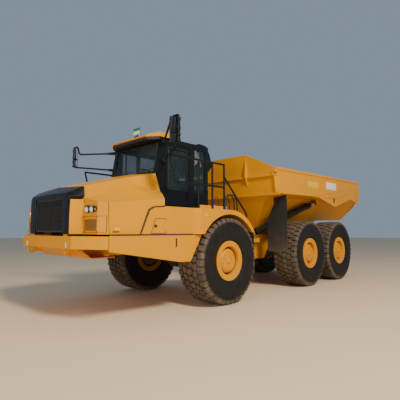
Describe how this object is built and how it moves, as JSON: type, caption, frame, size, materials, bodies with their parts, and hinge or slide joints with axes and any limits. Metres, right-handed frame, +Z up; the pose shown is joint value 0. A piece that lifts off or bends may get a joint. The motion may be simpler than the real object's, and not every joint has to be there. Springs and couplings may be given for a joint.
{
  "type": "articulated dump truck",
  "caption": "Articulated dump truck: a cab tractor steered at a centre hitch and a tipping dump body on a rear bogie, with hood, door, hoist and steering cylinders.",
  "frame": {"origin": "on the ground, midway between the nose and the tail, in the middle of the width", "axes": "+X from the nose to the tail, +Y to the truck's right hand, +Z up"},
  "size_m": [10.8, 3.932, 3.8598],
  "materials": {
    "yellow_paint": "semi-gloss",
    "black_paint": "semi-gloss",
    "dark_steel": "matt",
    "chrome_rod": "polished",
    "tyre_rubber": "matt",
    "flap_rubber": "matt",
    "tinted_glass": "clear",
    "black_plastic": "matt",
    "amber_plastic": "gloss"
  },
  "bodies": {
    "tractor": {"front_frame": "yellow_paint", "bumper": "yellow_paint", "engine": "dark_steel", "radiator": "dark_steel", "front_axle": "dark_steel", "skirts": "yellow_paint", "deck": "yellow_paint", "front_flaps": "flap_rubber", "cab_shell": "black_paint", "cab_roof": "yellow_paint", "cab_glass": "tinted_glass", "driver_place": "black_plastic", "handrails": "black_paint", "mirrors": "black_paint", "beacon": "amber_plastic", "steps": "black_paint", "roof_sign": "black_plastic"},
    "hood": {"hood": "yellow_paint", "grille_surround": "black_paint", "grille": "black_plastic", "headlamps": "black_plastic"},
    "door": {"cab_door": "black_paint", "door_glass": "tinted_glass"},
    "hatch": {"side_hatch": "yellow_paint"},
    "hitch": {"hitch": "yellow_paint"},
    "rear": {"rear_frame": "yellow_paint", "walking_beams": "yellow_paint", "bogie_axles": "dark_steel"},
    "bed": {"dump_body": "yellow_paint", "bed_flaps": "flap_rubber"},
    "hoist_barrel_left": {"hoist_barrel_left": "black_paint"},
    "hoist_rod_left": {"hoist_rod_left": "chrome_rod"},
    "steer_barrel_left": {"steer_barrel_left": "black_paint"},
    "steer_rod_left": {"steer_rod_left": "chrome_rod"},
    "hoist_barrel_right": {"hoist_barrel_right": "black_paint"},
    "hoist_rod_right": {"hoist_rod_right": "chrome_rod"},
    "steer_barrel_right": {"steer_barrel_right": "black_paint"},
    "steer_rod_right": {"steer_rod_right": "chrome_rod"},
    "wheel_front_left": {"tyre_front_left": "tyre_rubber", "rim_front_left": "yellow_paint"},
    "wheel_front_right": {"tyre_front_right": "tyre_rubber", "rim_front_right": "yellow_paint"},
    "wheel_middle_left": {"tyre_middle_left": "tyre_rubber", "rim_middle_left": "yellow_paint"},
    "wheel_middle_right": {"tyre_middle_right": "tyre_rubber", "rim_middle_right": "yellow_paint"},
    "wheel_rear_left": {"tyre_rear_left": "tyre_rubber", "rim_rear_left": "yellow_paint"},
    "wheel_rear_right": {"tyre_rear_right": "tyre_rubber", "rim_rear_right": "yellow_paint"}
  },
  "joints": [
    {"name": "steering", "type": "hinge", "parent": "tractor", "child": "hitch", "pos_m": [-0.73, 0, 1.1], "axis": [0, 0, 1], "range_deg": [-45, 45]},
    {"name": "oscillation", "type": "hinge", "parent": "hitch", "child": "rear", "pos_m": [-0.73, 0, 1.1], "axis": [1, 0, 0], "range_deg": [-12, 12]},
    {"name": "bed_tip", "type": "hinge", "parent": "rear", "child": "bed", "pos_m": [4.14, 0, 1.37], "axis": [0, 1, 0], "range_deg": [0, 70]},
    {"name": "spin_front_left", "type": "hinge", "parent": "tractor", "child": "wheel_front_left", "pos_m": [-2.16, -1.3435, 0.92], "axis": [0, 1, 0], "continuous": true},
    {"name": "spin_front_right", "type": "hinge", "parent": "tractor", "child": "wheel_front_right", "pos_m": [-2.16, 1.3435, 0.92], "axis": [0, 1, 0], "continuous": true},
    {"name": "spin_middle_left", "type": "hinge", "parent": "rear", "child": "wheel_middle_left", "pos_m": [1.447, -1.3435, 0.92], "axis": [0, 1, 0], "continuous": true},
    {"name": "spin_middle_right", "type": "hinge", "parent": "rear", "child": "wheel_middle_right", "pos_m": [1.447, 1.3435, 0.92], "axis": [0, 1, 0], "continuous": true},
    {"name": "spin_rear_left", "type": "hinge", "parent": "rear", "child": "wheel_rear_left", "pos_m": [3.413, -1.3435, 0.92], "axis": [0, 1, 0], "continuous": true},
    {"name": "spin_rear_right", "type": "hinge", "parent": "rear", "child": "wheel_rear_right", "pos_m": [3.413, 1.3435, 0.92], "axis": [0, 1, 0], "continuous": true},
    {"name": "hood_tilt", "type": "hinge", "parent": "tractor", "child": "hood", "pos_m": [-5.344, 0, 1.484], "axis": [0, -1, 0], "range_deg": [0, 55]},
    {"name": "door_swing", "type": "hinge", "parent": "tractor", "child": "door", "pos_m": [-3.294, -0.862, 2.75], "axis": [0, 0, -1], "range_deg": [0, 70]},
    {"name": "hatch_swing", "type": "hinge", "parent": "tractor", "child": "hatch", "pos_m": [-3.9175, -1.627, 1.6435], "axis": [0, 0, 1], "range_deg": [0, 90]},
    {"name": "hoist_swing_left", "type": "hinge", "parent": "rear", "child": "hoist_barrel_left", "pos_m": [-0.24, -0.86, 1.47], "axis": [-0.3684, -0.3521, 0.8604], "range_deg": [0, 4.45]},
    {"name": "hoist_extend_left", "type": "slide", "parent": "hoist_barrel_left", "child": "hoist_rod_left", "axis": [0.9294, -0.163, 0.3312], "range_m": [0, 2.27661]},
    {"name": "steer_swing_left", "type": "hinge", "parent": "tractor", "child": "steer_barrel_left", "pos_m": [-2.06, -0.82, 1.19], "axis": [0, 0, 1], "range_deg": [-3.32, 3.32]},
    {"name": "steer_extend_left", "type": "slide", "parent": "steer_barrel_left", "child": "steer_rod_left", "axis": [0.9862, 0.1654, 0], "range_m": [-0.4243, 0.4243]},
    {"name": "hoist_swing_right", "type": "hinge", "parent": "rear", "child": "hoist_barrel_right", "pos_m": [-0.24, 0.86, 1.47], "axis": [0.3684, -0.3521, -0.8604], "range_deg": [0, 4.45]},
    {"name": "hoist_extend_right", "type": "slide", "parent": "hoist_barrel_right", "child": "hoist_rod_right", "axis": [0.9294, 0.163, 0.3312], "range_m": [0, 2.27661]},
    {"name": "steer_swing_right", "type": "hinge", "parent": "tractor", "child": "steer_barrel_right", "pos_m": [-2.06, 0.82, 1.19], "axis": [0, 0, 1], "range_deg": [-3.32, 3.32]},
    {"name": "steer_extend_right", "type": "slide", "parent": "steer_barrel_right", "child": "steer_rod_right", "axis": [0.9862, -0.1654, 0], "range_m": [-0.4243, 0.4243]}
  ],
  "couplings": [
    {"joint": "hoist_swing_left", "follows": "bed_tip", "ratio": 0.063474},
    {"joint": "hoist_extend_left", "follows": "bed_tip", "m_per_rad": 1.8626},
    {"joint": "steer_swing_left", "follows": "steering", "ratio": 0.073333},
    {"joint": "steer_extend_left", "follows": "steering", "m_per_rad": 0.53896},
    {"joint": "hoist_swing_right", "follows": "bed_tip", "ratio": 0.063474},
    {"joint": "hoist_extend_right", "follows": "bed_tip", "m_per_rad": 1.8626},
    {"joint": "steer_swing_right", "follows": "steering", "ratio": 0.073333},
    {"joint": "steer_extend_right", "follows": "steering", "m_per_rad": -0.53896}
  ]
}
